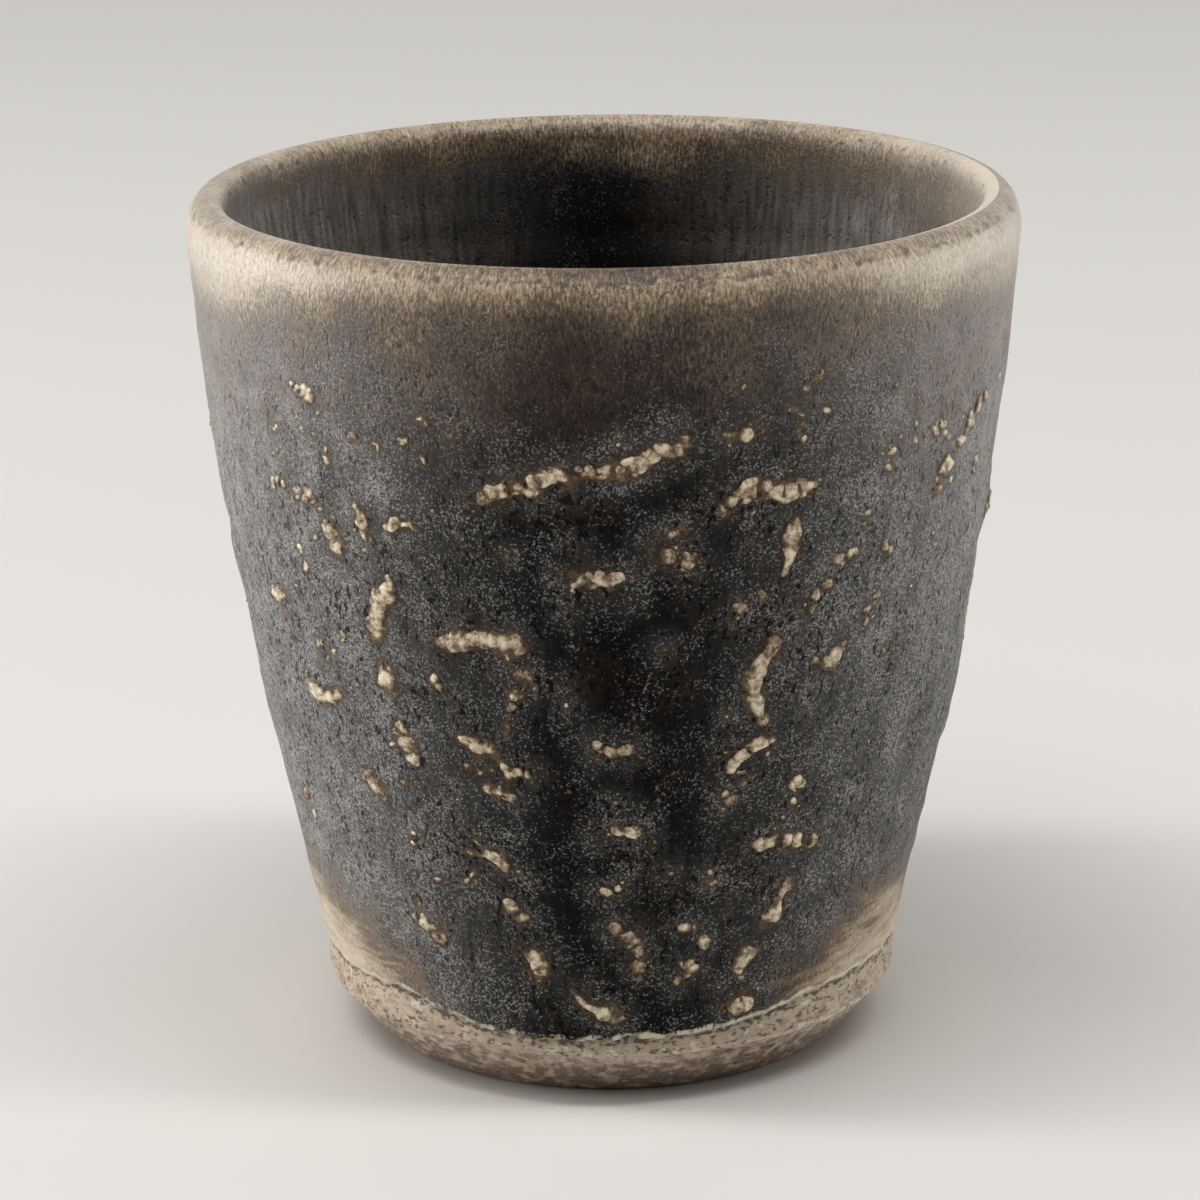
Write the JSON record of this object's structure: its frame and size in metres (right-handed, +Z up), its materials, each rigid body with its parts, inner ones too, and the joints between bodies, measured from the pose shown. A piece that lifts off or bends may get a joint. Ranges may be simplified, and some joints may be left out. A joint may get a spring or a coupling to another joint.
{
  "type": "stoneware cup",
  "caption": "Handle-less wheel-thrown stoneware cup: tapered clay body on a bevelled foot, dark liner and outer glazes, and raised strokes of pale slip.",
  "frame": {"origin": "on the table, under the middle of the foot ring", "axes": "+Z up along the cup's axis; -Y is the front that the picture shows; +X to its right"},
  "size_m": [0.086, 0.086, 0.09],
  "materials": {
    "stoneware": "bare fired stoneware, speckled tan-brown",
    "outer_glaze": "satin charcoal glaze breaking to beige at the lip and the foot",
    "liner_glaze": "satin charcoal glaze breaking to beige at the lip",
    "slip": "cream slip, lumpy, tan at its edges"
  },
  "bodies": {
    "root": {"clay_body": "stoneware", "liner_glaze": "liner_glaze", "outer_glaze": "outer_glaze", "slip_back_bar": "slip", "slip_back_foot_stroke": "slip", "slip_back_low_slant": "slip", "slip_back_low_sweep": "slip", "slip_back_middle_row": "slip", "slip_back_post": "slip", "slip_back_tall_curl": "slip", "slip_back_upper_row": "slip", "slip_front_bar": "slip", "slip_front_bar_drop": "slip", "slip_front_foot_dash": "slip", "slip_front_foot_stroke": "slip", "slip_front_hanging_stroke": "slip", "slip_front_hooked_row": "slip", "slip_front_low_blob": "slip", "slip_front_low_row": "slip", "slip_front_low_slant": "slip", "slip_front_low_sweep": "slip", "slip_front_low_tick": "slip", "slip_front_middle_dab": "slip", "slip_front_middle_drop": "slip", "slip_front_middle_row": "slip", "slip_front_short_hook": "slip", "slip_front_slant": "slip", "slip_front_slant_echo": "slip", "slip_front_tall_curl": "slip", "slip_front_upper_dab": "slip", "slip_front_upper_row": "slip", "slip_left_blob": "slip", "slip_left_cup": "slip", "slip_left_dashes": "slip", "slip_left_edge_lump": "slip", "slip_left_low_dash": "slip", "slip_left_low_sweep": "slip", "slip_left_post": "slip", "slip_left_post_foot": "slip", "slip_left_post_tail": "slip", "slip_left_stroke": "slip", "slip_left_tee": "slip", "slip_right_dash": "slip", "slip_right_edge_row": "slip", "slip_side_left_row": "slip", "slip_side_left_stroke": "slip", "slip_side_right_post": "slip", "slip_side_right_row": "slip"}
  },
  "joints": []
}
